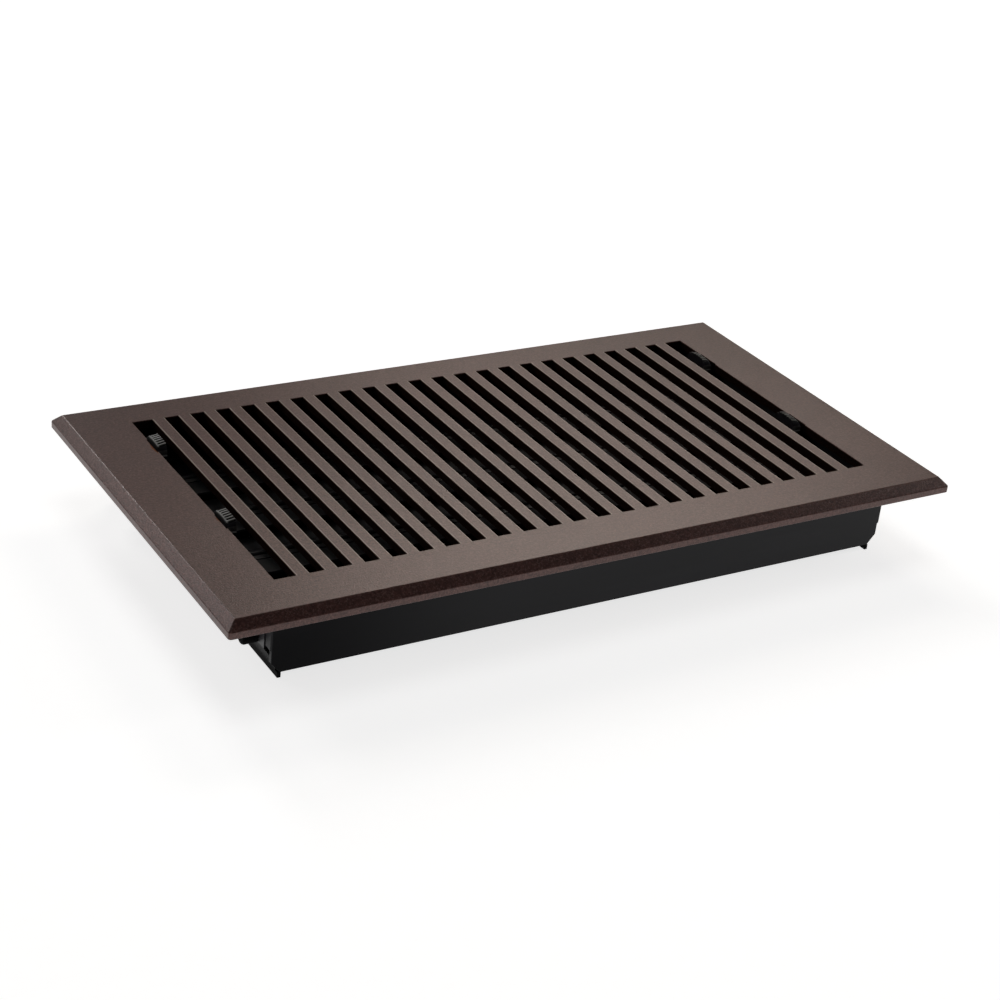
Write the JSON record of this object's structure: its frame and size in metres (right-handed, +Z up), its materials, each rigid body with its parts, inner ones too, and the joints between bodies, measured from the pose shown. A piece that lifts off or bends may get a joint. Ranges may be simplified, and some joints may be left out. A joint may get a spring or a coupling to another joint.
{
  "type": "louvred air grille",
  "caption": "Rectangular floor register: slotted metal faceplate over a plastic damper box with linked louvres and ribbed thumb levers.",
  "frame": {"origin": "under the middle of the faceplate, level with the bottom lips of the damper box", "axes": "+X along the length of the register, +Y towards its back long side, +Z up out of the face"},
  "size_m": [0.367, 0.2014, 0.0419],
  "materials": {
    "bronze_powder_coat": "fine textured powder coat",
    "box_black_plastic": "satin moulded",
    "end_cap_black_plastic": "satin moulded",
    "louvre_black_plastic": "satin moulded",
    "lever_grey_plastic": "matte, handled",
    "tie_bar_black_plastic": "matte",
    "bumper_rubber": "matte",
    "screw_zinc_steel": "zinc plated"
  },
  "bodies": {
    "register": {"faceplate": "bronze_powder_coat", "side_rail_front": "box_black_plastic", "side_rail_back": "box_black_plastic", "end_cap_left": "end_cap_black_plastic", "end_cap_right": "end_cap_black_plastic", "bumper_back_left": "bumper_rubber", "bumper_back_right": "bumper_rubber", "bumper_front_left": "bumper_rubber", "bumper_front_right": "bumper_rubber", "screw_back_left": "screw_zinc_steel", "screw_back_right": "screw_zinc_steel", "screw_front_left": "screw_zinc_steel", "screw_front_right": "screw_zinc_steel"},
    "louvre_1": {"louvre_1": "louvre_black_plastic", "thumb_lever_back_left": "lever_grey_plastic", "thumb_lever_back_right": "lever_grey_plastic"},
    "louvre_2": {"louvre_2": "louvre_black_plastic"},
    "louvre_3": {"louvre_3": "louvre_black_plastic", "thumb_lever_front_left": "lever_grey_plastic", "thumb_lever_front_right": "lever_grey_plastic"},
    "louvre_4": {"louvre_4": "louvre_black_plastic"},
    "tie_bar_back_left": {"tie_bar_back_left": "tie_bar_black_plastic"},
    "tie_bar_back_right": {"tie_bar_back_right": "tie_bar_black_plastic"},
    "tie_bar_front_left": {"tie_bar_front_left": "tie_bar_black_plastic"},
    "tie_bar_front_right": {"tie_bar_front_right": "tie_bar_black_plastic"}
  },
  "joints": [
    {"name": "louvre_1_hinge", "type": "hinge", "parent": "register", "child": "louvre_1", "pos_m": [0, 0.057, 0.018], "axis": [-1, 0, 0], "range_deg": [-3, 40]},
    {"name": "louvre_2_hinge", "type": "hinge", "parent": "register", "child": "louvre_2", "pos_m": [0, 0.019, 0.018], "axis": [-1, 0, 0], "range_deg": [-3, 40]},
    {"name": "louvre_3_hinge", "type": "hinge", "parent": "register", "child": "louvre_3", "pos_m": [0, -0.019, 0.018], "axis": [-1, 0, 0], "range_deg": [-3, 40]},
    {"name": "louvre_4_hinge", "type": "hinge", "parent": "register", "child": "louvre_4", "pos_m": [0, -0.057, 0.018], "axis": [-1, 0, 0], "range_deg": [-3, 40]},
    {"name": "tie_bar_back_left_pin", "type": "hinge", "parent": "louvre_1", "child": "tie_bar_back_left", "pos_m": [-0.1534, 0.057, 0.026], "axis": [-1, 0, 0], "range_deg": [-40, 3]},
    {"name": "tie_bar_back_right_pin", "type": "hinge", "parent": "louvre_1", "child": "tie_bar_back_right", "pos_m": [0.1534, 0.057, 0.026], "axis": [-1, 0, 0], "range_deg": [-40, 3]},
    {"name": "tie_bar_front_left_pin", "type": "hinge", "parent": "louvre_3", "child": "tie_bar_front_left", "pos_m": [-0.1534, -0.019, 0.026], "axis": [-1, 0, 0], "range_deg": [-40, 3]},
    {"name": "tie_bar_front_right_pin", "type": "hinge", "parent": "louvre_3", "child": "tie_bar_front_right", "pos_m": [0.1534, -0.019, 0.026], "axis": [-1, 0, 0], "range_deg": [-40, 3]}
  ],
  "couplings": [
    {"joint": "louvre_2_hinge", "follows": "louvre_1_hinge", "ratio": 1},
    {"joint": "tie_bar_back_left_pin", "follows": "louvre_1_hinge", "ratio": -1},
    {"joint": "tie_bar_back_right_pin", "follows": "louvre_1_hinge", "ratio": -1},
    {"joint": "louvre_4_hinge", "follows": "louvre_3_hinge", "ratio": 1},
    {"joint": "tie_bar_front_left_pin", "follows": "louvre_3_hinge", "ratio": -1},
    {"joint": "tie_bar_front_right_pin", "follows": "louvre_3_hinge", "ratio": -1}
  ]
}
